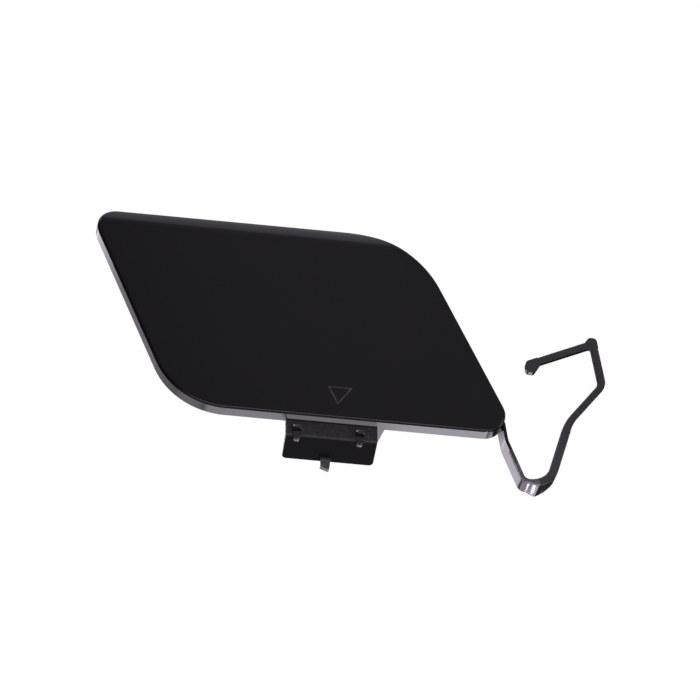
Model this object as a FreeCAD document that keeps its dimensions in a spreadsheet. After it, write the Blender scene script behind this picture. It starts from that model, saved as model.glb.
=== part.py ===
import FreeCAD, Part
import math
import os
import re
import Sketcher

# A bumper tow hook cover in black plastic, one moulding: face panel, rim, latch tab and tether.
#
# Frame, in millimetres: X runs along the cover to the right as it is seen on the car, Y runs into the bumper
# and Z is up. The origin is the middle of the plane that the rim's rear edge seats on, so the face lies at
# negative Y and the latch, the upper hooks and the tether reach to positive Y.

# name, value, what it is
SIZES = [
    ("face_width", 79.8, "between the slanted side edges, at mid height"),
    ("face_height", 53.35, "between the lower and upper edges, at the middle"),
    ("left_lean", 23.05, "degrees of the left edge from upright"),
    ("right_lean", 24.8, "degrees of the right edge from upright"),
    ("top_rise", 0.9, "degrees that the upper edge rises to the right"),
    ("upper_left_round", 5.0, "outline radius"),
    ("upper_right_round", 25.0, "outline radius"),
    ("lower_right_round", 5.1, "outline radius"),
    ("lower_left_round", 18.0, "outline radius"),
    ("rim_depth", 3.6, "from the face to the rim's rear edge"),
    ("rim_wall", 1.8, "thickness of the rim"),
    ("face_wall", 2.0, "thickness of the face panel"),
    ("edge_round", 0.6, "radius along the face's edge"),
    ("brow_height", 4.4, "band along the upper edge that curves back"),
    ("brow_radius", 8.0, "radius of that band"),
    ("mark_side", 5.3, "upper side of the engraved triangle"),
    ("mark_height", 4.35, "height of the triangle"),
    ("mark_slant", 0.53, "how far its lower corner lies to the left of the middle"),
    ("mark_x", 10.0, "middle of the triangle's upper side"),
    ("mark_top", 8.2, "from the lower edge up to the triangle's upper side"),
    ("mark_line", 0.42, "width of the engraved line"),
    ("mark_depth", 0.3, "depth of the engraved line"),
    ("rib_wall", 1.1, "thickness of the stiffening ribs behind the face"),
    ("rib_inset", 0.5, "from the rim's rear edge to the ribs"),
    ("root_depth", 0.3, "how deep the ribs are set into the walls that carry them"),
    ("rib_pitch", 19.0, "between the upright ribs"),
    ("latch_x", 8.55, "middle of the latch tab"),
    ("latch_width", 21.5, "width of the latch tab"),
    ("latch_wall", 1.2, "thickness of the web and tongue"),
    ("web_forward", 0.55, "how far the web's front stands ahead of the rim's rear edge"),
    ("web_drop", 3.95, "height of the web under the lower edge"),
    ("fold_round", 0.6, "outer radius of the fold between the web and the tongue"),
    ("tongue_length", 7.0, "length of the tongue, along its slope"),
    ("tongue_slope", 20.5, "degrees that the tongue falls to the rear"),
    ("tongue_round", 1.0, "radius at the tongue's rear corners"),
    ("shelf_reach", 6.2, "how far the shelf reaches behind the rim"),
    ("shelf_wall", 1.4, "thickness of the shelf"),
    ("shelf_inset", 1.5, "how far the shelf's left end lies inside the latch's left end"),
    ("shelf_flare", 1.85, "how far the shelf passes the latch's right end at the rim"),
    ("shelf_taper", 0.7, "how much of that flare is gone at the shelf's rear"),
    ("bead_width", 1.8, "width of the two upright beads on the web"),
    ("bead_spacing", 14.8, "between the beads"),
    ("bead_x", 7.75, "midway between the beads"),
    ("bead_proud", 0.3, "how far the beads stand out of the web"),
    ("bead_top", 1.95, "from the lower edge down to the nibs at the beads' upper end"),
    ("bead_hang", 1.1, "how far the beads pass below the web"),
    ("bead_slope", 0.35, "leg of the slope on the nibs' upper front edge"),
    ("bead_round", 0.25, "radius along the beads' front edges"),
    ("nib_height", 1.05, "height of the nibs"),
    ("nib_proud", 1.75, "how far the nibs stand out of the web"),
    ("peg_width", 2.5, "width of the peg under the tongue"),
    ("peg_x", 8.0, "middle of the peg"),
    ("peg_wall", 1.2, "thickness of the peg"),
    ("peg_drop", 2.9, "from the tongue's rear edge down to the peg's longer side"),
    ("peg_slant", 0.8, "how much shorter the peg's left side is"),
    ("hook_spacing", 34.0, "between the two upper hooks"),
    ("hook_x", -18.7, "midway between the upper hooks"),
    ("hook_width", 8.0, "width of an upper hook"),
    ("hook_wall", 1.6, "thickness of an upper hook"),
    ("hook_reach", 7.5, "how far an upper hook reaches behind the rim"),
    ("hook_lip", 1.8, "how far its lip rises over the hook"),
    ("strap_wall", 0.8, "thickness of the tether's flat strap"),
    ("strap_width", 5.3, "width of the strap, along Y"),
    ("strap_round", 0.25, "radius on the strap's edges"),
    ("strap_start", 1.4, "how far the tether's front lies ahead of the rim's rear edge"),
    ("strap_lean", 20.8, "degrees of the strap's long run from upright"),
    ("strap_run", 10.85, "length of the long run, between sharp corners"),
    ("root_lean", 7.7, "degrees of the strap's upper run from upright"),
    ("root_run", 5.15, "length of the upper run"),
    ("root_round", 4.0, "radius between the two runs, upper side"),
    ("root_turn", 77.0, "degrees from upright, to the left, of the end that enters the rim"),
    ("root_end", 2.7, "length of that end"),
    ("root_end_round", 1.1, "radius on its upper side"),
    ("bend_x", 3.06, "from the cover's lower right corner, sharp, out to the tether's lowest stretch"),
    ("bend_drop", 10.46, "from the cover's lower edge down to the bend's inner side"),
    ("bend_flat", 0.1, "level stretch at the bottom of the bend"),
    ("bend_left_round", 1.5, "inner radius on the strap's side"),
    ("bend_right_round", 5.04, "inner radius on the bar's side"),
    ("bend_peak", 20.0, "degrees round the bend, from its lowest point, where it is widest"),
    ("bend_wall", 1.5, "thickness there"),
    ("bend_width", 6.4, "width there, along Y"),
    ("bend_neck", 58.0, "degrees round the bend where it begins to narrow quickly"),
    ("neck_width", 4.2, "width there, along Y"),
    ("bar_wall", 2.05, "thickness of the bar's first run, in the tether's plane"),
    ("bar_depth", 1.9, "depth of the first run, along Y"),
    ("bar_round", 0.4, "radius on the bar's edges"),
    ("rise_lean", 16.9, "degrees of the first bar run from upright"),
    ("rise_run", 17.4, "length of the first run, between sharp corners"),
    ("slant_lean", 37.5, "degrees of the slanted run from upright"),
    ("slant_run", 14.13, "length of the slanted run"),
    ("slant_round", 14.0, "radius between the first and the slanted run, outer side"),
    ("slant_wall", 1.65, "thickness of the slanted run"),
    ("crook_wall", 1.95, "thickness of the leg and the arm"),
    ("crook_depth", 1.3, "depth of the slanted run, the leg and the arm, along Y"),
    ("leg_lean", 8.5, "degrees of the leg from upright, to the left"),
    ("leg_run", 10.2, "length of the leg"),
    ("leg_round", 2.6, "inner radius between the slanted run and the leg"),
    ("arm_fall", 25.5, "degrees that the arm falls to the left"),
    ("arm_run", 15.38, "length of the arm"),
    ("arm_round", 0.5, "inner radius between the leg and the arm"),
    ("knob_reach", 2.2, "how far the end knob's left side lies past the arm"),
    ("knob_drop", 1.95, "how far its foot hangs below the arm's end"),
    ("knob_foot", 2.05, "width of its foot"),
    ("knob_slope", 1.6, "where its slanted side meets the arm, from the arm's end"),
    ("bump_radius", 1.0, "crown radius of the bump on the corner between the leg and the arm"),
    ("bump_rise", 2.65, "from the leg's upper end to the bump's crown, along the leg's outer side"),
    ("bump_width", 1.9, "width of the crown, between sharp corners"),
    ("bump_slope", 57.0, "degrees that the bump's left side rises from the arm"),
]

document = FreeCAD.newDocument("tow_hook_cover")
sheet = document.addObject("Spreadsheet::Sheet", "Sizes")
for row, (alias, value, note) in enumerate(SIZES, start=1):
    sheet.set(f"A{row}", alias)
    sheet.set(f"B{row}", str(value))
    sheet.set(f"C{row}", note)
    sheet.setAlias(f"B{row}", alias)
document.recompute()

NAMES = {alias for alias, value, note in SIZES}

# places and heights that several features share, each worked out from the sizes
FACE = "(-rim_depth)"
LOW = "(-face_height / 2)"
INNER_FACE = "(face_wall - rim_depth)"
WEB = "(-web_forward)"
WEB_FOOT = f"({LOW} - web_drop)"
TONGUE_REAR = f"({WEB} + tongue_length * cos(tongue_slope))"
TONGUE_FOOT = f"({WEB_FOOT} - tongue_length * sin(tongue_slope))"
BEND = f"({LOW} - bend_drop)"
BEND_START = "(face_width / 2 + face_height / 2 * tan(right_lean) + bend_x)"
INTO_WEB = "latch_wall * 0.8"

LEAST_ROUND = 0.4  # mm, the smallest outline radius that is left inside the rim
LEAST_CHANGE = 0.001  # mm3, less than any feature adds or takes away


def bind(expression):
    """The expression with each named size written as a cell of the sheet."""
    return re.sub(r"[a-z_]+", lambda m: f"Sizes.{m[0]}" if m[0] in NAMES else m[0], str(expression))


def number(expression):
    return float(sheet.evalExpression(bind(expression)))


cover = document.addObject("PartDesign::Body", "TowHookCover")
cover.Label = "tow_hook_cover"
cover.Placement = FreeCAD.Placement()


def sketch_on(role, name, offset="0"):
    """A sketch on one of the body's origin planes, moved along the plane's normal by offset.

    On XY_Plane the sketch's axes are X and Y, and its normal is +Z. On XZ_Plane they are X and Z, and the
    normal is -Y. On YZ_Plane they are Y and Z, and the normal is +X.
    """
    sketch = cover.newObject("Sketcher::SketchObject", name)
    plane = next(item for item in cover.Origin.OriginFeatures if item.Role == role)
    sketch.AttachmentSupport = [(plane, "")]
    sketch.MapMode = "FlatFace"
    sketch.setExpression("AttachmentOffset.Base.z", bind(offset))
    return sketch


def constrain(sketch, kind, *where, size=None):
    """Adds a constraint, and ties it to the sheet when it has a size."""
    if size is None:
        return sketch.addConstraint(Sketcher.Constraint(kind, *where))
    index = sketch.addConstraint(Sketcher.Constraint(kind, *where, number(size)))
    sketch.setExpression(f"Constraints[{index}]", bind(size))
    return index


def pin(sketch, geometry, end, across, upward):
    """Holds one point of a sketch at its two coordinates."""
    constrain(sketch, "DistanceX", -1, 1, geometry, end, size=across)
    constrain(sketch, "DistanceY", -1, 1, geometry, end, size=upward)


def add_arc(sketch, vertex, before, after, radius):
    """A rounded corner. Gives the arc's index, its ends as (point number, place) and whether it turns left."""
    towards_before = (before - vertex).normalize()
    towards_after = (after - vertex).normalize()
    half = towards_before.getAngle(towards_after) / 2
    first = vertex + towards_before * (radius / math.tan(half))
    last = vertex + towards_after * (radius / math.tan(half))
    centre = vertex + (towards_before + towards_after).normalize() * (radius / math.sin(half))
    left_turn = (first - centre).cross(last - centre).z > 0
    low, high = (first, last) if left_turn else (last, first)
    start = math.atan2(low.y - centre.y, low.x - centre.x)
    stop = math.atan2(high.y - centre.y, high.x - centre.x)
    circle = Part.Circle(centre, FreeCAD.Vector(0, 0, 1), radius)
    index = sketch.addGeometry(Part.ArcOfCircle(circle, start, stop))
    return index, (1, first) if left_turn else (2, first), (2, last) if left_turn else (1, last)


def add_outline(sketch, corners, closed=True):
    """Straight lines through the corners, each given as (across, upward, radius), with None for a sharp one."""
    points = [FreeCAD.Vector(number(across), number(upward), 0) for across, upward, radius in corners]
    count = len(points)
    enter, leave, places = {}, {}, {}
    for i, (across, upward, radius) in enumerate(corners):
        inside = closed or 0 < i < count - 1
        if radius is None or not inside:
            enter[i] = leave[i] = None
            places[i] = (points[i], points[i])
        else:
            following = points[(i + 1) % count]
            arc, first, last = add_arc(sketch, points[i], points[i - 1], following, number(radius))
            constrain(sketch, "Radius", arc, size=radius)
            enter[i], leave[i] = (arc, first[0]), (arc, last[0])
            places[i] = (first[1], last[1])
    lines = {}
    for i in range(count if closed else count - 1):
        nxt = (i + 1) % count
        lines[i] = sketch.addGeometry(Part.LineSegment(places[i][1], places[nxt][0]))
    for i, (across, upward, radius) in enumerate(corners):
        before = lines.get((i - 1) % count)
        after = lines.get(i)
        if enter[i]:
            constrain(sketch, "Tangent", before, 2, *enter[i])
            constrain(sketch, "Tangent", *leave[i], after, 1)
            tip = sketch.addGeometry(Part.Point(points[i]), True)
            constrain(sketch, "PointOnObject", tip, 1, before)
            constrain(sketch, "PointOnObject", tip, 1, after)
            pin(sketch, tip, 1, across, upward)
        elif before is None or (not closed and i == 0):
            pin(sketch, after, 1, across, upward)
        elif after is None:
            pin(sketch, before, 2, across, upward)
        else:
            constrain(sketch, "Coincident", before, 2, after, 1)
            pin(sketch, after, 1, across, upward)


def add_bend(sketch, start, end, radius, left_turn):
    """An arc from one place to another, turning left or right on the way."""
    first, last = (start, end) if left_turn else (end, start)
    low = FreeCAD.Vector(number(first[0]), number(first[1]), 0)
    high = FreeCAD.Vector(number(last[0]), number(last[1]), 0)
    chord = high - low
    size = number(radius)
    across = FreeCAD.Vector(-chord.y, chord.x, 0).normalize()
    centre = low + chord / 2 + across * math.sqrt(size ** 2 - chord.Length ** 2 / 4)
    circle = Part.Circle(centre, FreeCAD.Vector(0, 0, 1), size)
    angles = [math.atan2(point.y - centre.y, point.x - centre.x) for point in (low, high)]
    index = sketch.addGeometry(Part.ArcOfCircle(circle, *angles))
    constrain(sketch, "Radius", index, size=radius)
    pin(sketch, index, 1, *first)
    pin(sketch, index, 2, *last)


def box_corners(left, low, right, high, radius=None):
    return [(left, low, radius), (right, low, radius), (right, high, radius), (left, high, radius)]


def feature(kind, name, profile, length=None, reversed_way=False, both_ways=False):
    """A pad or pocket of a profile. It has to change the body's volume."""
    before = cover.Shape.Volume if cover.Tip else 0.0
    made = cover.newObject(f"PartDesign::{kind}", name)
    made.Profile = profile
    made.Reversed = reversed_way
    made.Midplane = both_ways
    made.setExpression("Length", bind(length))
    profile.Visibility = False
    document.recompute()
    change = cover.Shape.Volume - before
    if (change > 0) != (kind == "Pad") or abs(change) < LEAST_CHANGE:
        raise RuntimeError(f"{name} changes the volume by {change:.4f}")
    return made


def dress(kind, name, size, chosen):
    """A fillet or chamfer on the edges of the body's last feature that chosen picks."""
    base = cover.Tip
    edges = [f"Edge{i}" for i, edge in enumerate(base.Shape.Edges, start=1) if chosen(edge)]
    if not edges:
        raise RuntimeError(f"{name} finds no edge")
    made = cover.newObject(f"PartDesign::{kind}", name)
    made.Base = (base, edges)
    made.setExpression("Radius" if kind == "Fillet" else "Size", bind(size))
    document.recompute()
    return made


def near(value, expression, reach=0.01):
    return abs(value - number(expression)) < reach


def outline(inset):
    """The cover's outline, moved inwards by inset: lower left, lower right, upper right and upper left."""
    low = f"({LOW} + {inset})"
    side = {"left": f"(-face_width / 2 + {inset} / cos(left_lean))",
            "right": f"(face_width / 2 - {inset} / cos(right_lean))"}
    corners = []
    for place, level in (("left", "lower"), ("right", "lower"), ("right", "upper"), ("left", "upper")):
        if level == "lower":
            height = low
        else:
            top = f"(face_height / 2 - {inset} / cos(top_rise) + tan(top_rise) * {side[place]})"
            height = f"({top} / (1 + tan(top_rise) * tan({place}_lean)))"
        across = f"({side[place]} - {height} * tan({place}_lean))"
        corners.append((across, height, f"max({level}_{place}_round - {inset}; {LEAST_ROUND})"))
    return corners


def face_panel():
    """The solid block of the cover, with its upper edge curved back and its front edge rounded."""
    profile = sketch_on("XZ_Plane", "FaceOutline", "0")
    add_outline(profile, outline("0"))
    feature("Pad", "FaceBlock", profile, "rim_depth")

    brow = sketch_on("YZ_Plane", "BrowProfile", "0")
    start = "(face_height / 2 - brow_height)"
    centre = FreeCAD.Vector(number(f"{FACE} + brow_radius"), number(start), 0)
    circle = Part.Circle(centre, FreeCAD.Vector(0, 0, 1), number("brow_radius"))
    arc = brow.addGeometry(Part.ArcOfCircle(circle, math.pi / 2, math.pi))
    constrain(brow, "Radius", arc, size="brow_radius")
    pin(brow, arc, 3, f"{FACE} + brow_radius", start)
    path = [(f"{FACE} + brow_radius", f"{start} + brow_radius"),
            (f"{FACE} - brow_radius", f"{start} + brow_radius"),
            (f"{FACE} - brow_radius", start),
            (FACE, start)]
    spots = [FreeCAD.Vector(number(across), number(upward), 0) for across, upward in path]
    sides = [brow.addGeometry(Part.LineSegment(a, b)) for a, b in zip(spots, spots[1:])]
    constrain(brow, "Coincident", arc, 1, sides[0], 1)
    constrain(brow, "Coincident", arc, 2, sides[-1], 2)
    for line, following in zip(sides, sides[1:]):
        constrain(brow, "Coincident", line, 2, following, 1)
        pin(brow, following, 1, *path[sides.index(following)])
    constrain(brow, "Vertical", arc, 1, arc, 3)
    constrain(brow, "Horizontal", arc, 2, arc, 3)
    feature("Pocket", "Brow", brow, "4 * face_width", both_ways=True)

    def front(edge):
        """The loop round the front: edges that touch the side walls and lie ahead of the rim's rear edge."""
        middle = edge.valueAt((edge.FirstParameter + edge.LastParameter) / 2)
        way = edge.tangentAt(edge.FirstParameter)
        straight = edge.Curve.TypeId == "Part::GeomLine"
        at_rear = near(middle.y, "0")
        across_wall = straight and abs(way.y) > abs(way.x) and abs(way.y) > abs(way.z)
        on_brow_start = straight and near(middle.z, start) and near(middle.y, FACE)
        return not at_rear and not across_wall and not on_brow_start

    dress("Fillet", "FaceEdge", "edge_round", front)


def back_hollow():
    """The shallow space behind the face, inside the rim, with its stiffening ribs."""
    hollow = sketch_on("XZ_Plane", "HollowOutline", "0")
    add_outline(hollow, outline("rim_wall"))
    feature("Pocket", "Hollow", hollow, "rim_depth - face_wall", reversed_way=True)

    rooted = f"(root_depth - {INNER_FACE})"
    height = "rim_depth - face_wall - rib_inset + root_depth"
    ribs = sketch_on("XZ_Plane", "RibOutline", rooted)
    reach = "(face_width / 2 - rim_wall + root_depth)"
    add_outline(ribs, box_corners(f"-{reach}", "-rib_wall / 2", reach, "rib_wall / 2"))
    feature("Pad", "LongRib", ribs, height, reversed_way=True)

    upright = sketch_on("XZ_Plane", "UprightOutline", rooted)
    for step in (-1, 0, 1):
        middle = f"({step} * rib_pitch)"
        top = f"face_height / 2 + {middle} * tan(top_rise) - rim_wall + root_depth"
        add_outline(upright, box_corners(f"{middle} - rib_wall / 2", f"{LOW} + rim_wall - root_depth",
                                         f"{middle} + rib_wall / 2", top))
    feature("Pad", "UprightRibs", upright, height, reversed_way=True)


def arrow_mark():
    """The engraved triangle that shows where to press: one line, point down."""
    mark = sketch_on("XZ_Plane", "ArrowMark", f"-{FACE}")
    top = f"({LOW} + mark_top)"
    middle = ("(mark_x - mark_slant / 3)", f"({top} - mark_height / 3)")
    tips = [("(mark_x - mark_side / 2)", top), ("(mark_x + mark_side / 2)", top),
            ("(mark_x - mark_slant)", f"({top} - mark_height)")]
    for sign in ("+", "-"):
        grow = f"(1 {sign} mark_line * 1.5 / mark_height)"
        corners = []
        for across, upward in tips:
            corners.append((f"{middle[0]} + ({across} - {middle[0]}) * {grow}",
                            f"{middle[1]} + ({upward} - {middle[1]}) * {grow}", None))
        add_outline(mark, corners)
    feature("Pocket", "Arrow", mark, "mark_depth")


def latch_tab():
    """The tab under the lower edge: a web, a tongue that falls to the rear, a shelf, nibs, beads and a peg."""
    section = sketch_on("YZ_Plane", "LatchSection", "latch_x")
    rise = "(latch_wall * cos(tongue_slope))"
    back = "(latch_wall * sin(tongue_slope))"
    inner_foot = f"({WEB_FOOT} + latch_wall / cos(tongue_slope) - latch_wall * tan(tongue_slope))"
    add_outline(section, [(WEB, f"{LOW} + rim_wall / 2", None),
                          (WEB, WEB_FOOT, "fold_round"),
                          (TONGUE_REAR, TONGUE_FOOT, None),
                          (f"{TONGUE_REAR} + {back}", f"{TONGUE_FOOT} + {rise}", None),
                          (f"{WEB} + latch_wall", inner_foot, "fold_round / 2"),
                          (f"{WEB} + latch_wall", f"{LOW} + rim_wall / 2", None)])
    feature("Pad", "WebAndTongue", section, "latch_width", both_ways=True)

    def tongue_corner(edge):
        middle = edge.valueAt((edge.FirstParameter + edge.LastParameter) / 2)
        at_side = near(abs(middle.x - number("latch_x")), "latch_width / 2")
        at_rear = near(middle.y, f"{TONGUE_REAR} + {back} / 2")
        return at_side and at_rear and near(middle.z, f"{TONGUE_FOOT} + {rise} / 2")

    dress("Fillet", "TongueCorners", "tongue_round", tongue_corner)

    shelf = sketch_on("XY_Plane", "ShelfOutline", LOW)
    left = "(latch_x - latch_width / 2 + shelf_inset)"
    right = "(latch_x + latch_width / 2 + shelf_flare)"
    add_outline(shelf, [(left, "-rim_wall / 2", None), (right, "-rim_wall / 2", None),
                        (f"{right} - shelf_taper", "shelf_reach", "shelf_wall / 2"),
                        (left, "shelf_reach", "shelf_wall / 2")])
    feature("Pad", "Shelf", shelf, "shelf_wall")

    nibs = sketch_on("XZ_Plane", "NibOutline", f"-{WEB} + nib_proud")
    beads = sketch_on("XZ_Plane", "BeadOutline", f"-{WEB} + bead_proud")
    nib_foot = f"({LOW} - bead_top - nib_height)"
    end_round = "bead_width * 0.4"
    for side in (-1, 1):
        left = f"(bead_x + {side} * bead_spacing / 2 - bead_width / 2)"
        right = f"({left} + bead_width)"
        foot = f"({WEB_FOOT} - bead_hang)"
        add_outline(nibs, box_corners(left, nib_foot, right, f"{LOW} - bead_top"))
        add_outline(beads, [(left, f"{nib_foot} + nib_height / 2", None), (left, foot, end_round),
                            (right, foot, end_round), (right, f"{nib_foot} + nib_height / 2", None)])
    feature("Pad", "Nibs", nibs, f"nib_proud + {INTO_WEB}", reversed_way=True)

    def nib_top(edge):
        middle = edge.valueAt((edge.FirstParameter + edge.LastParameter) / 2)
        return near(middle.z, f"{LOW} - bead_top") and near(middle.y, f"{WEB} - nib_proud")

    dress("Chamfer", "NibTops", "bead_slope", nib_top)
    feature("Pad", "Beads", beads, f"bead_proud + {INTO_WEB}", reversed_way=True)

    def bead_edge(edge):
        in_front = all(near(vertex.Point.y, f"{WEB} - bead_proud") for vertex in edge.Vertexes)
        at_nib = all(near(vertex.Point.z, nib_foot) for vertex in edge.Vertexes)
        return in_front and not at_nib

    dress("Fillet", "BeadEdges", "bead_round", bead_edge)

    peg = sketch_on("XZ_Plane", "PegOutline", f"-{TONGUE_REAR} + peg_wall")
    root = f"({TONGUE_FOOT} + latch_wall / 2)"
    add_outline(peg, [("peg_x - peg_width / 2", root, None),
                      ("peg_x - peg_width / 2", f"{TONGUE_FOOT} - peg_drop + peg_slant", "peg_width / 10"),
                      ("peg_x + peg_width / 2 - peg_width / 6", f"{TONGUE_FOOT} - peg_drop", "peg_width / 10"),
                      ("peg_x + peg_width / 2", root, None)])
    feature("Pad", "Peg", peg, "peg_wall", reversed_way=True)


def upper_hooks():
    """The two hooks behind the upper edge that go in first, each with a lip that rises behind the bumper."""
    root = "(face_height / 2 - brow_height - hook_wall)"
    for side in (-1, 1):
        section = sketch_on("YZ_Plane", f"HookSection{side + 2}", f"hook_x + {side} * hook_spacing / 2")
        add_outline(section, [(f"{INNER_FACE} - face_wall / 4", root, None),
                              ("hook_reach", root, "hook_wall / 3"),
                              ("hook_reach", f"{root} + hook_wall + hook_lip", "hook_wall / 5"),
                              ("hook_reach - hook_wall", f"{root} + hook_wall + hook_lip", "hook_wall / 5"),
                              ("hook_reach - hook_wall", f"{root} + hook_wall", "hook_wall / 3"),
                              (f"{INNER_FACE} - face_wall / 4", f"{root} + hook_wall", None)])
        feature("Pad", f"UpperHook{side + 2}", section, "hook_width", both_ways=True)


def pipe(name, profile, route, end_section=None):
    """A sweep of a profile along a route, to a second profile if one is given. It has to add volume."""
    document.recompute()
    before = cover.Shape.Volume
    made = cover.newObject("PartDesign::AdditivePipe", name)
    made.Profile = profile
    made.Spine = (route, [f"Edge{i}" for i in range(1, len(route.Shape.Edges) + 1)])
    if end_section:
        made.Transformation = "Multisection"
        made.Sections = [(end_section, [""])]
    document.recompute()
    if cover.Shape.Volume - before < LEAST_CHANGE:
        raise RuntimeError(f"{name} adds nothing")


def straight_pipe(name, profile, places):
    """A sweep of a profile along lines through places, given as the corners of an outline."""
    route = sketch_on("XZ_Plane", f"{name}Route", "strap_start")
    add_outline(route, places, closed=False)
    pipe(name, profile, route)


def ahead(place, lean, run):
    """A place reached from another one, in a direction given in degrees from upright, to the right."""
    return f"({place[0]} + {run} * sin({lean}))", f"({place[1]} + {run} * cos({lean}))"


def bar_profile(name, place, lean, wall, depth, corner_round):
    """A section of the tether across a direction in degrees from upright. Its left side is on the place."""
    section = sketch_on("YZ_Plane", name, "0")
    turn = f"(90 - {lean})"
    section.AttachmentOffset = FreeCAD.Placement(
        FreeCAD.Vector(0, 0, 0), FreeCAD.Rotation(FreeCAD.Vector(-1, 0, 0), number(turn)))
    section.setExpression("AttachmentOffset.Rotation.Angle", bind(turn))
    section.setExpression("AttachmentOffset.Base.y", bind(place[1]))
    section.setExpression("AttachmentOffset.Base.z", bind(place[0]))
    front = "(-strap_start)"
    add_outline(section, box_corners(front, f"(-{wall})", f"({depth} - strap_start)", "0", corner_round))
    return section


def tether():
    """The tether: a flat strap from the cover's lower right corner, a bend, and a bar with a hook at its end.

    Its routes run along the upper side of the strap and the left side of the bar, in the plane of their front.
    """
    left_turn = "(90 - strap_lean)"
    right_turn = "(90 - rise_lean)"
    bottom = (BEND_START, BEND)
    strap_corner = (f"({BEND_START} - bend_flat - bend_left_round * tan({left_turn} / 2))", BEND)
    strap_top = ahead(strap_corner, "(-strap_lean)", "strap_run")
    root_top = ahead(strap_top, "(-root_lean)", "root_run")
    root_end = ahead(root_top, "(-root_turn)", "root_end")
    bar_corner = (f"({BEND_START} + bend_right_round * tan({right_turn} / 2))", BEND)
    slant = ahead(bar_corner, "rise_lean", "rise_run")
    leg = ahead(slant, "slant_lean", "slant_run")
    arm = ahead(leg, "(-leg_lean)", "leg_run")
    end = ahead(arm, "(-90 - arm_fall)", "arm_run")

    # the bend's right side is one arc, which is widest at its peak and narrows quickly past its neck
    peak, neck = [(f"({BEND_START} + bend_right_round * sin({angle}))",
                   f"({BEND} + bend_right_round * (1 - cos({angle})))") for angle in ("bend_peak", "bend_neck")]
    bar_start = ahead(bar_corner, "rise_lean", f"(bend_right_round * tan({right_turn} / 2))")
    # the bends at the two ends of the slanted run begin and end here
    slant_tangent = "(slant_round * tan((slant_lean - rise_lean) / 2))"
    before_slant = ahead(slant, "rise_lean", f"(-{slant_tangent})")
    after_slant = ahead(slant, "slant_lean", slant_tangent)
    leg_tangent = "(leg_round * tan((slant_lean + leg_lean) / 2))"
    before_leg = ahead(leg, "slant_lean", f"(-{leg_tangent})")
    after_leg = ahead(leg, "(-leg_lean)", leg_tangent)

    sections = {}
    for name, place, lean, wall, depth, corner_round in [
            ("bottom", bottom, "90", "strap_wall", "strap_width", "strap_round"),
            ("peak", peak, "(90 - bend_peak)", "bend_wall", "bend_width", "strap_round"),
            ("neck", neck, "(90 - bend_neck)", "bar_wall", "neck_width", "bar_round"),
            ("bar", bar_start, "rise_lean", "bar_wall", "bar_depth", "bar_round"),
            ("rise_end", before_slant, "rise_lean", "bar_wall", "bar_depth", "bar_round"),
            ("slant", after_slant, "slant_lean", "slant_wall", "crook_depth", "bar_round"),
            ("slant_end", before_leg, "slant_lean", "slant_wall", "crook_depth", "bar_round"),
            ("leg", after_leg, "(-leg_lean)", "crook_wall", "crook_depth", "bar_round")]:
        sections[name] = bar_profile(f"Section_{name}", place, lean, wall, depth, corner_round)

    strap = [(*bottom, None), (*strap_corner, "bend_left_round"), (*strap_top, "root_round"),
             (*root_top, "root_end_round"), (*root_end, None)]
    straight_pipe("Strap", sections["bottom"], strap)
    for name, first, last, start, finish, radius, left in [
            ("BendFlare", "bottom", "peak", bottom, peak, "bend_right_round", True),
            ("BendTaper", "peak", "neck", peak, neck, "bend_right_round", True),
            ("BendNeck", "neck", "bar", neck, bar_start, "bend_right_round", True),
            ("SlantBend", "rise_end", "slant", before_slant, after_slant, "slant_round", False),
            ("LegBend", "slant_end", "leg", before_leg, after_leg, "leg_round", True)]:
        route = sketch_on("XZ_Plane", f"{name}Route", "strap_start")
        add_bend(route, start, finish, radius, left)
        pipe(name, sections[first], route, sections[last])
    straight_pipe("Rise", sections["bar"], [(*bar_start, None), (*before_slant, None)])
    straight_pipe("Slant", sections["slant"], [(*after_slant, None), (*before_leg, None)])
    straight_pipe("Crook", sections["leg"], [(*after_leg, None), (*arm, "arm_round"), (*end, None)])

    knob = sketch_on("XZ_Plane", "KnobOutline", "strap_start")
    left = f"({end[0]} - knob_reach)"
    foot = f"({end[1]} - knob_drop)"
    slope = ("(knob_slope * cos(arm_fall))", "(knob_slope * sin(arm_fall))")
    add_outline(knob, [(left, foot, "knob_foot * 0.5"),
                       (f"{left} + knob_foot", foot, "knob_foot * 0.38"),
                       (f"{end[0]} + {slope[0]}", f"{end[1]} + {slope[1]}", None),
                       (f"{end[0]} + {slope[0]} - crook_wall * sin(arm_fall)",
                        f"{end[1]} + {slope[1]} + crook_wall * cos(arm_fall)", None),
                       (left, f"{end[1]} - knob_reach * tan(arm_fall) + crook_wall / cos(arm_fall)",
                        "knob_foot * 0.6")])
    feature("Pad", "Knob", knob, "crook_depth", reversed_way=True)

    bump = sketch_on("XZ_Plane", "BumpOutline", "strap_start")
    leg_side = ahead(arm, "(90 - leg_lean)", "crook_wall")
    crown_right = ahead(leg_side, "(-leg_lean)", "bump_rise")
    crown_left = (f"({crown_right[0]} - bump_width)", crown_right[1])
    foot = ahead(crown_left, "(-90 - bump_slope)", "bump_rise * 0.85")  # inside the arm
    add_outline(bump, [(*leg_side, None), (*crown_right, "bump_radius"), (*crown_left, "bump_radius"),
                       (*foot, None)])
    feature("Pad", "Bump", bump, "crook_depth", reversed_way=True)


face_panel()
back_hollow()
arrow_mark()
latch_tab()
upper_hooks()
tether()

for item in document.Objects:
    if "Invalid" in item.State or "Error" in item.State:
        raise RuntimeError(f"{item.Name} failed: {item.State}")
shape = cover.Shape
if shape.isNull() or not shape.isValid() or len(shape.Solids) != 1:
    raise RuntimeError("the cover isn't one valid solid")

os.makedirs("parts", exist_ok=True)
shape.exportStep(f"parts/{cover.Label}.step")
print(f"{cover.Label}: {shape.Volume:.1f} mm3, box {shape.BoundBox}")
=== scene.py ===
"""A bumper tow hook cover: its moulded black plastic, and a studio that shows it from below."""
import math

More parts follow.
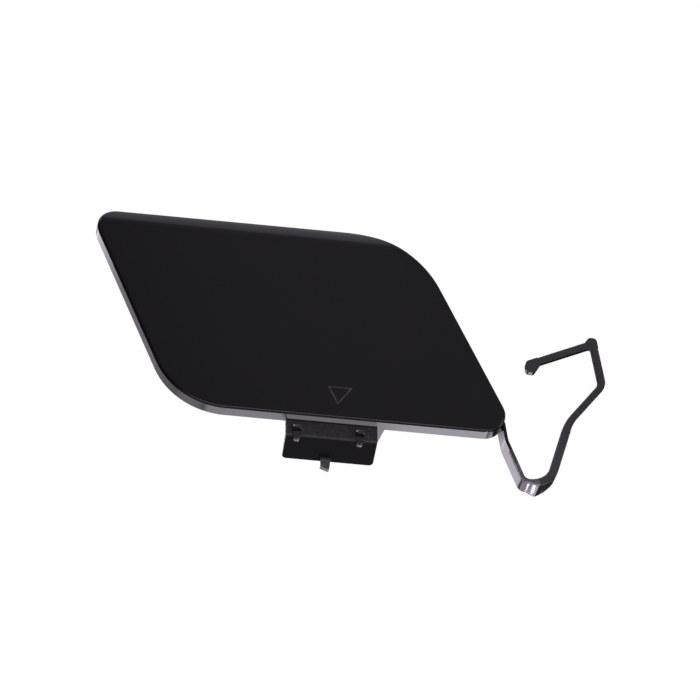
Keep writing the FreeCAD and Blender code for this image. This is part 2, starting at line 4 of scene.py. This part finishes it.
import bpy
from bpy.props import FloatProperty, FloatVectorProperty, PointerProperty
from mathutils import Matrix, Vector

bl_info = {
    "name": "Tow Hook Cover",
    "version": (1, 0, 0),
    "blender": (4, 5, 0),
    "location": "3D View > Sidebar > Tow Cover",
    "description": "Finishes a bumper tow hook cover in moulded black plastic and sets up its studio",
    "category": "Object",
}

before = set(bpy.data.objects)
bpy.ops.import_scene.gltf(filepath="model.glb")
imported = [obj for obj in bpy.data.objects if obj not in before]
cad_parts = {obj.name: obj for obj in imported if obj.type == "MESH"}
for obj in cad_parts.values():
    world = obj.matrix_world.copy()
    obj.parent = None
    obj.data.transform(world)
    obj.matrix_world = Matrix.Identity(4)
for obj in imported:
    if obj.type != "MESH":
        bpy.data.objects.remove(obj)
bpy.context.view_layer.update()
COVER = "tow_hook_cover"

# heights where one finish gives way to the next, from the top down: the cover's lower edge, the feet of the
# latch's nibs, and the foot of its tongue, under which only the peg is left of the latch
LOWER_EDGE = -0.02672
NIB_FOOT = -0.02975
TONGUE_FOOT = -0.0332

# the tether lies to the right of the panel's right edge, which leans as the panel's outline does
RIGHT_EDGE = 0.0400
RIGHT_SLOPE = math.tan(math.radians(24.8))

# the smooth strap's middle and half its reach, along X
STRAP_MIDDLE = 0.0505
STRAP_REACH = 0.0055

# below the nibs, what stands this far ahead of the seating plane is rougher: the beads' feet and the bend
FRONT_START = 0.0002

# the floor of the engraved triangle: its place along Y, the band on either side of that, its middle along
# X and Z, and half its reach
MARK_DEPTH = -0.0033
MARK_BAND = 0.00025
MARK_MIDDLE_X = 0.0100
MARK_MIDDLE_Z = -0.0205
MARK_REACH = 0.0045

# how softly one finish runs into the next: along an edge of the moulding, and along the parting line
EDGE_BLUR = 0.0001
LINE_BLUR = 0.0002

# a surface faces forwards or backwards where its normal leans along Y by more than this, either way
FACING_LIMIT = 0.6
FACING_BLUR = 0.1

# the values of the noise from which a speck begins and is at its lightest
SPECK_START = 0.5
SPECK_FULL = 0.75

# the floor's roughness, and its fibre: its size and depth, the share of that depth that shows, and the
# shade of its darker threads
FLOOR_ROUGHNESS = 0.9
FIBRE_SIZE = 0.004
FIBRE_DEPTH = 0.0002
FIBRE_RELIEF = 0.3
FIBRE_SHADE = 0.94

# the camera's square sensor, in millimetres, and the nearest that it sees, in metres
SENSOR = 36
NEAREST = 0.01

# the lamps' light, a little to the violet
LAMP_COLOR = (1.0, 0.94, 1.05)

# the soft lamps: name, place, the point it faces, width, height and radiance
LAMPS = (
    ("overhead_panel", (-0.10, -0.20, 0.60), (-0.10, -0.20, 0.0), 0.70, 0.66, 0.66),
    ("overhead_left", (-0.22, -0.20, 0.60), (-0.22, -0.20, 0.0), 0.56, 0.66, 2.0),
    ("overhead_edge", (0.47, -0.86, 0.60), (0.30, -0.30, 0.0), 0.90, 0.60, 0.19),
    ("front_panel", (0.10, -0.66, -0.38), (0.0, 0.0, 0.0), 1.00, 0.60, 1.20),
    ("under_far_left", (-0.065, 0.085, -0.070), (-0.030, 0.0, -0.0267), 0.040, 0.050, 1.40),
    ("under_left", (-0.020, 0.085, -0.080), (-0.030, 0.0, -0.0267), 0.040, 0.040, 2.5),
    ("under_mid", (0.020, 0.085, -0.074), (0.010, 0.0, -0.0267), 0.040, 0.028, 2.85),
    ("under_right", (0.060, 0.085, -0.075), (0.045, 0.0, -0.0267), 0.040, 0.034, 4.2),
    ("corner_glow", (0.066, 0.030, -0.035), (0.049, -0.0015, -0.025), 0.014, 0.013, 2.2),
    ("bend_glow", (0.0583, 0.0216, -0.0538), (0.0560, 0.0, -0.0380), 0.0028, 0.0045, 44.0),
    ("latch_glow", (0.0086, -0.0009, -0.0276), (0.0086, -0.1, -0.0276), 0.0214, 0.0016, 1.6),
    ("strap_glow", (0.0577, -0.0140, -0.0220), (0.0530, 0.0, -0.0315), 0.005, 0.009, 2.0),
    ("ribbon_glow", (-0.035, 0.15, 0.012), (0.051, 0.0, -0.0315), 0.100, 0.090, 2.8),
    ("rim_glow", (-0.122, 0.15, 0.040), (-0.040, 0.0, -0.005), 0.040, 0.070, 0.64),
    ("rim_glow_top", (-0.134, 0.15, 0.106), (-0.046, 0.0, 0.015), 0.060, 0.050, 3.1),
    ("rim_glow_low", (-0.122, 0.15, -0.030), (-0.036, 0.0, -0.020), 0.050, 0.070, 0.7),
    ("right_strip", (0.52, 0.10, 0.26), (0.05, 0.0, -0.02), 0.06, 0.30, 5.0),
    ("right_low", (0.56, 0.03, -0.08), (0.05, 0.0, -0.02), 0.05, 0.20, 5.0),
    ("upper_right", (0.34, 0.22, 0.44), (0.04, 0.0, 0.0), 0.25, 0.25, 1.0),
)


class PlasticSettings(bpy.types.PropertyGroup):
    """The moulded plastic: smooth on the face, rim and strap, finely sparked on the latch, bar and back."""

    face_color: FloatVectorProperty(
        name="Face Colour", description="Colour of the plastic on the smooth face",
        subtype="COLOR", size=3, min=0, max=1, default=(0.0056, 0.0050, 0.0072))
    back_color: FloatVectorProperty(
        name="Back Colour", description="Colour of the plastic on the latch, the bar and the back",
        subtype="COLOR", size=3, min=0, max=1, default=(0.050, 0.049, 0.052))
    face_roughness: FloatProperty(
        name="Face Roughness", description="Roughness of the smooth face",
        subtype="FACTOR", min=0, max=1, default=0.2)
    back_roughness: FloatProperty(
        name="Back Roughness", description="Roughness of the plastic on the latch, the bar and the back",
        subtype="FACTOR", min=0, max=1, default=0.42)
    front_roughness: FloatProperty(
        name="Low Front Roughness", description="Least roughness of the low fronts of the latch and tether",
        subtype="FACTOR", min=0, max=1, default=0.55)
    face_spread: FloatProperty(
        name="Face Spread", description="How far the roughness of the smooth face varies",
        min=0, max=1, default=0.06)
    back_spread: FloatProperty(
        name="Back Spread", description="How far the roughness of the sparked plastic varies",
        min=0, max=1, default=0.16)
    refraction: FloatProperty(
        name="Refraction", description="Index of refraction of the plastic",
        min=1, default=1.52)
    finish_line: FloatProperty(
        name="Finish Line", description="Place along Y where the smooth face's finish ends",
        subtype="DISTANCE", unit="LENGTH", default=-0.0004)
    grain_size: FloatProperty(
        name="Grain Size", description="Size of the finest grain of the sparked plastic",
        subtype="DISTANCE", unit="LENGTH", min=0.00001, default=0.00022)
    grain_depth: FloatProperty(
        name="Grain Depth", description="Depth of the grain on the sparked plastic",
        subtype="DISTANCE", unit="LENGTH", min=0, default=0.000012)
    smooth_grain: FloatProperty(
        name="Smooth Grain", description="Share of that grain that is left on the smooth face",
        subtype="FACTOR", min=0, max=1, default=0.1)
    speck_size: FloatProperty(
        name="Speck Size", description="Size of the light specks in the sparked plastic",
        subtype="DISTANCE", unit="LENGTH", min=0.00001, default=0.000352)
    speck_gain: FloatProperty(
        name="Speck Gain", description="How much lighter a speck is",
        min=0, default=1.0)
    between_specks: FloatProperty(
        name="Between Specks", description="Shade of the plastic between the specks",
        min=0, default=0.93)
    haze_size: FloatProperty(
        name="Haze Size", description="Size of the smooth face's changes in roughness",
        subtype="DISTANCE", unit="LENGTH", min=0.00001, default=0.000528)
    cloud_size: FloatProperty(
        name="Cloud Size", description="Size of the slow changes in shade over the whole moulding",
        subtype="DISTANCE", unit="LENGTH", min=0.0001, default=0.018)
    cloud_middle: FloatProperty(
        name="Cloud Middle", description="Middle shade of those changes",
        min=0, default=1.005)
    cloud_spread: FloatProperty(
        name="Cloud Spread", description="How far the shade changes",
        min=0, default=0.35)
    # the whole peg's colour is made evenly lighter by this gain
    peg_gain: FloatProperty(
        name="Peg Gain", description="How much lighter the peg is, where it has rubbed",
        min=0, default=1.6)
    mark_gain: FloatProperty(
        name="Mark Gain", description="How much lighter the floor of the engraved triangle is",
        min=0, default=1.5)
    ripple_size: FloatProperty(
        name="Ripple Size", description="Size of the faint waves that moulding leaves in the smooth face",
        subtype="DISTANCE", unit="LENGTH", min=0.0001, default=0.006)
    ripple_depth: FloatProperty(
        name="Ripple Depth", description="Depth of those waves",
        subtype="DISTANCE", unit="LENGTH", min=0, default=0.000008)


class StudioSettings(bpy.types.PropertyGroup):
    """The camera, the floor and the even light of the room."""

    azimuth: FloatProperty(
        name="Azimuth", description="Camera's turn round the cover, from straight ahead of its face",
        subtype="ANGLE", unit="ROTATION", default=math.radians(-10))
    elevation: FloatProperty(
        name="Elevation", description="Camera's height angle, below the cover where it is negative",
        subtype="ANGLE", unit="ROTATION", default=math.radians(-33))
    distance: FloatProperty(
        name="Distance", description="From the camera to the point that it looks at",
        subtype="DISTANCE", unit="LENGTH", min=0.1, default=0.74085)
    lens: FloatProperty(
        name="Lens", description="Focal length, in millimetres, on a 36 mm sensor",
        min=10, default=162.3)
    target: FloatVectorProperty(
        name="Target", description="The point that the camera looks at",
        subtype="TRANSLATION", unit="LENGTH", size=3, default=(0.012305, -0.00345, -0.0077))
    floor_height: FloatProperty(
        name="Floor Height", description="Height of the floor under the cover",
        subtype="DISTANCE", unit="LENGTH", default=-0.62)
    floor_width: FloatProperty(
        name="Floor Width", description="Width of the square floor",
        subtype="DISTANCE", unit="LENGTH", min=1, default=6)
    floor_color: FloatVectorProperty(
        name="Floor Colour", description="Colour of the floor",
        subtype="COLOR", size=3, min=0, max=1, default=(0.62, 0.62, 0.62))
    room_level: FloatProperty(
        name="Room Level", description="Even light from all round",
        min=0, default=0.045)


def view_axes(azimuth, elevation):
    """Right, up and back of a camera that is turned round the Z axis and raised."""
    right = Vector((math.cos(azimuth), math.sin(azimuth), 0))
    back = Vector((math.sin(azimuth) * math.cos(elevation), -math.cos(azimuth) * math.cos(elevation),
                   math.sin(elevation)))
    return right, back.cross(right), back


class NodeBoard:
    """A material's or world's node tree, with short calls that add and join its nodes.

    A value or a share may be a number or another node's socket. Edges, widths and sizes are numbers.
    """

    def __init__(self, owner):
        owner.use_nodes = True
        self.tree = owner.node_tree
        self.tree.nodes.clear()

    def add(self, kind, settings=None, **inputs):
        """A node of a kind, with its settings and the inputs that are named."""
        node = self.tree.nodes.new(kind)
        for name, value in (settings or {}).items():
            setattr(node, name, value)
        for name, value in inputs.items():
            self.feed(node, name.replace("_", " "), value)
        return node

    def feed(self, node, name, value):
        """Join a socket to a node's input, or set the input to a number or a colour."""
        socket = node.inputs[name]
        if isinstance(value, bpy.types.NodeSocket):
            self.tree.links.new(value, socket)
        else:
            socket.default_value = value

    def math(self, operation, first, second=0.0, third=None):
        node = self.add("ShaderNodeMath", {"operation": operation})
        self.feed(node, 0, first)
        self.feed(node, 1, second)
        if third is not None:
            self.feed(node, 2, third)
        return node.outputs[0]

    def both(self, first, second):
        """Where two masks are both 1."""
        return self.math("MULTIPLY", first, second)

    def either(self, first, second):
        """Where one of two masks is 1, or the larger of two values."""
        return self.math("MAXIMUM", first, second)

    def opposite(self, mask):
        """Where a mask is 0."""
        return self.math("SUBTRACT", 1.0, mask)

    def negative(self, value):
        return self.math("MULTIPLY", value, -1.0)

    def ramp(self, value, low, high):
        """0 up to the low value and 1 from the high one on, with a smooth change between them."""
        node = self.add("ShaderNodeMapRange", {"interpolation_type": "SMOOTHSTEP"}, Value=value)
        self.feed(node, "From Min", low)
        self.feed(node, "From Max", high)
        return node.outputs["Result"]

    def step(self, value, edge, reach):
        """0 below an edge and 1 above it, with a soft change from edge - reach to edge + reach."""
        return self.ramp(value, edge - reach, edge + reach)

    def window(self, value, middle, reach):
        """1 within reach of the middle and 0 outside."""
        return self.math("COMPARE", value, middle, reach)

    def spread(self, noise, middle, width):
        """A noise from 0 to 1, spread evenly round a middle value."""
        return self.math("MULTIPLY_ADD", noise, width, middle - width / 2)

    def mix(self, share, first, second):
        """The first value where the share is 0 and the second where it is 1."""
        node = self.add("ShaderNodeMix", {"data_type": "FLOAT"})
        self.feed(node, "Factor", share)
        self.feed(node, 2, first)
        self.feed(node, 3, second)
        return node.outputs[0]

    def blend(self, share, first, second):
        """As mix, for two colours."""
        node = self.add("ShaderNodeMix", {"data_type": "RGBA"})
        self.feed(node, "Factor", share)
        self.feed(node, 6, (*first, 1))
        self.feed(node, 7, (*second, 1))
        return node.outputs[2]

    def noise(self, place, size, detail=2.0, roughness=0.5):
        """An even noise from 0 to 1 whose features have a size in metres."""
        node = self.add("ShaderNodeTexNoise", {"noise_dimensions": "3D"}, Vector=place, Scale=1 / size,
                        Detail=detail, Roughness=roughness)
        return node.outputs["Fac"]


def finish_masks(board, place, settings):
    """Masks, from 0 to 1, of the sparked finish, the low fronts, the peg and the triangle's floor."""
    across, depth, height = board.add("ShaderNodeSeparateXYZ", Vector=place).outputs
    below = board.negative(height)
    normal = board.add("ShaderNodeNewGeometry").outputs["Normal"]
    facing = board.add("ShaderNodeSeparateXYZ", Vector=normal).outputs["Y"]

    under = board.step(below, -LOWER_EDGE, EDGE_BLUR)
    leaning = board.math("MULTIPLY_ADD", height, RIGHT_SLOPE, across)
    beside = board.step(leaning, RIGHT_EDGE, EDGE_BLUR)
    behind = board.step(depth, settings.finish_line, LINE_BLUR)
    behind = board.either(behind, board.either(under, beside))
    not_strap = board.opposite(board.both(under, board.window(across, STRAP_MIDDLE, STRAP_REACH)))

    low = board.step(below, -NIB_FOOT, EDGE_BLUR)
    fronts = board.both(low, board.step(board.negative(depth), FRONT_START, EDGE_BLUR))
    peg = board.both(board.step(below, -TONGUE_FOOT, EDGE_BLUR), board.opposite(beside))
    mark = board.window(depth, MARK_DEPTH, MARK_BAND)
    mark = board.both(mark, board.window(across, MARK_MIDDLE_X, MARK_REACH))
    mark = board.both(mark, board.window(height, MARK_MIDDLE_Z, MARK_REACH))

    square = board.step(board.math("ABSOLUTE", facing), FACING_LIMIT, FACING_BLUR)
    square = board.either(board.both(square, not_strap), fronts)
    rearward = board.both(board.step(facing, FACING_LIMIT, FACING_BLUR), not_strap)
    sparked = board.either(board.either(board.both(behind, square), mark), rearward)
    return sparked, fronts, peg, mark


def moulded_plastic(settings):
    """Black plastic: smooth on the face, finely sparked and a little greyer behind it."""
    material = bpy.data.materials.new("moulded_plastic")
    board = NodeBoard(material)
    place = board.add("ShaderNodeTexCoord").outputs["Object"]
    sparked, fronts, peg, mark = finish_masks(board, place, settings)

    clouds = board.noise(place, settings.cloud_size, detail=3.0)
    grain = board.noise(place, settings.grain_size, detail=3.0, roughness=0.6)
    ripples = board.noise(place, settings.ripple_size, detail=1.0)
    specks = board.ramp(board.noise(place, settings.speck_size, detail=1.0), SPECK_START, SPECK_FULL)
    haze = board.noise(place, settings.haze_size)

    cloudy = board.spread(clouds, settings.cloud_middle, settings.cloud_spread)
    speckled = board.math("MULTIPLY_ADD", board.both(specks, sparked), settings.speck_gain,
                          settings.between_specks)
    # the whole peg's colour is made evenly lighter, and the triangle's floor lighter by its own gain
    lightened = board.math("MULTIPLY_ADD", peg, settings.peg_gain, 1.0)
    lightened = board.math("MULTIPLY_ADD", mark, settings.mark_gain, lightened)
    shade = board.math("MULTIPLY", board.math("MULTIPLY", cloudy, speckled), lightened)
    color = board.add("ShaderNodeVectorMath", {"operation": "SCALE"})
    board.feed(color, 0, board.blend(sparked, settings.face_color, settings.back_color))
    board.feed(color, "Scale", shade)

    face_rough = board.spread(haze, settings.face_roughness, settings.face_spread)
    back_rough = board.spread(grain, settings.back_roughness, settings.back_spread)
    rough = board.mix(sparked, face_rough, back_rough)
    rough = board.either(rough, board.math("MULTIPLY", fronts, settings.front_roughness))

    ripple = board.add("ShaderNodeBump", Strength=1.0, Distance=settings.ripple_depth, Height=ripples)
    pits = board.math("MULTIPLY", grain, board.mix(sparked, settings.smooth_grain, 1.0))
    bump = board.add("ShaderNodeBump", Strength=1.0, Distance=settings.grain_depth, Height=pits,
                     Normal=ripple.outputs["Normal"])

    shader = board.add("ShaderNodeBsdfPrincipled", Roughness=rough, IOR=settings.refraction,
                       Normal=bump.outputs["Normal"])
    board.feed(shader, "Base Color", color.outputs["Vector"])
    end = board.add("ShaderNodeOutputMaterial")
    board.feed(end, "Surface", shader.outputs["BSDF"])
    return material


class TOWCOVER_OT_finish_moulding(bpy.types.Operator):
    """Give the cover, its latch and its tether their moulded plastic"""

    bl_idname = "towcover.finish_moulding"
    bl_label = "Finish the Moulding"

    def execute(self, context):
        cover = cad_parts.get(COVER)
        if cover is None:
            raise RuntimeError("the frame has no cover")
        plastic = moulded_plastic(context.scene.towcover_plastic)
        cover.data.materials.clear()
        cover.data.materials.append(plastic)
        return {"FINISHED"}


def pale_ground(name, color):
    """A pale matt surface with a fine fibre, which glows in its own colour for the camera alone."""
    material = bpy.data.materials.new(name)
    board = NodeBoard(material)
    place = board.add("ShaderNodeTexCoord").outputs["Object"]
    fibre = board.noise(place, FIBRE_SIZE, detail=4.0)
    dim = [value * FIBRE_SHADE for value in color]
    tone = board.blend(fibre, dim, color)
    bump = board.add("ShaderNodeBump", Strength=FIBRE_RELIEF, Distance=FIBRE_DEPTH, Height=fibre)
    shader = board.add("ShaderNodeBsdfPrincipled", Roughness=FLOOR_ROUGHNESS, Normal=bump.outputs["Normal"])
    board.feed(shader, "Base Color", tone)
    board.feed(shader, "Emission Color", tone)
    board.feed(shader, "Emission Strength", board.add("ShaderNodeLightPath").outputs["Is Camera Ray"])
    end = board.add("ShaderNodeOutputMaterial")
    board.feed(end, "Surface", shader.outputs["BSDF"])
    return material


def soft_lamp(name, place, aim, width, height, radiance):
    """A rectangular lamp of even radiance, which lights the cover and is hidden from the camera."""
    data = bpy.data.lights.new(name, "AREA")
    data.shape = "RECTANGLE"
    data.size = width
    data.size_y = height
    data.energy = radiance * width * height * math.pi
    data.color = LAMP_COLOR
    lamp = bpy.data.objects.new(name, data)
    lamp.location = place
    lamp.rotation_euler = (Vector(aim) - Vector(place)).to_track_quat("-Z", "Y").to_euler()
    lamp.visible_camera = False
    bpy.context.scene.collection.objects.link(lamp)


def set_floor(settings):
    """The plain floor, far below the cover."""
    bpy.ops.mesh.primitive_plane_add(size=settings.floor_width, location=(0, 0, settings.floor_height))
    floor = bpy.context.object
    floor.name = "pale_floor"
    floor.data.materials.append(pale_ground("pale_floor", settings.floor_color))


def set_room(scene, settings):
    """A white background for the camera, and a dim even light for everything else."""
    world = bpy.data.worlds.new("room")
    scene.world = world
    board = NodeBoard(world)
    seen = board.add("ShaderNodeLightPath").outputs["Is Camera Ray"]
    level = board.math("MULTIPLY_ADD", seen, 1.0 - settings.room_level, settings.room_level)
    glow = board.add("ShaderNodeBackground", Strength=level)
    board.feed(glow, "Color", (1, 1, 1, 1))
    end = board.add("ShaderNodeOutputWorld")
    board.feed(end, "Surface", glow.outputs["Background"])


def set_camera(scene, settings):
    """The camera, turned and raised as its settings say."""
    right, up, back = view_axes(settings.azimuth, settings.elevation)
    data = bpy.data.cameras.new("camera")
    data.lens = settings.lens
    data.sensor_width = SENSOR
    data.sensor_height = SENSOR
    data.sensor_fit = "HORIZONTAL"
    data.clip_start = NEAREST
    camera = bpy.data.objects.new("camera", data)
    turn = Matrix((right, up, back)).transposed().to_4x4()
    place = Vector(settings.target) + back * settings.distance
    camera.matrix_world = Matrix.Translation(place) @ turn
    scene.collection.objects.link(camera)
    scene.camera = camera


class TOWCOVER_OT_set_studio(bpy.types.Operator):
    """Put the floor, the lamps, the even room light and the camera in place"""

    bl_idname = "towcover.set_studio"
    bl_label = "Set the Studio"

    def execute(self, context):
        settings = context.scene.towcover_studio
        set_floor(settings)
        for lamp in LAMPS:
            soft_lamp(*lamp)
        set_room(context.scene, settings)
        set_camera(context.scene, settings)
        context.scene.view_settings.view_transform = "Standard"
        return {"FINISHED"}


class TOWCOVER_PT_panel(bpy.types.Panel):
    """Lists the cover's steps and their settings"""

    bl_idname = "TOWCOVER_PT_panel"
    bl_label = "Tow Hook Cover"
    bl_space_type = "VIEW_3D"
    bl_region_type = "UI"
    bl_category = "Tow Cover"

    def draw(self, context):
        layout = self.layout
        steps = (
            (TOWCOVER_OT_finish_moulding, context.scene.towcover_plastic),
            (TOWCOVER_OT_set_studio, context.scene.towcover_studio),
        )
        for step, settings in steps:
            box = layout.box()
            box.operator(step.bl_idname)
            for name in settings.__annotations__:
                box.prop(settings, name)


CLASSES = (
    PlasticSettings,
    StudioSettings,
    TOWCOVER_OT_finish_moulding,
    TOWCOVER_OT_set_studio,
    TOWCOVER_PT_panel,
)


def register():
    for item in CLASSES:
        bpy.utils.register_class(item)
    bpy.types.Scene.towcover_plastic = PointerProperty(type=PlasticSettings)
    bpy.types.Scene.towcover_studio = PointerProperty(type=StudioSettings)


def unregister():
    del bpy.types.Scene.towcover_studio
    del bpy.types.Scene.towcover_plastic
    for item in reversed(CLASSES):
        bpy.utils.unregister_class(item)


def main():
    """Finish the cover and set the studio."""
    register()
    bpy.ops.towcover.finish_moulding()
    bpy.ops.towcover.set_studio()


if __name__ == "__main__":
    main()
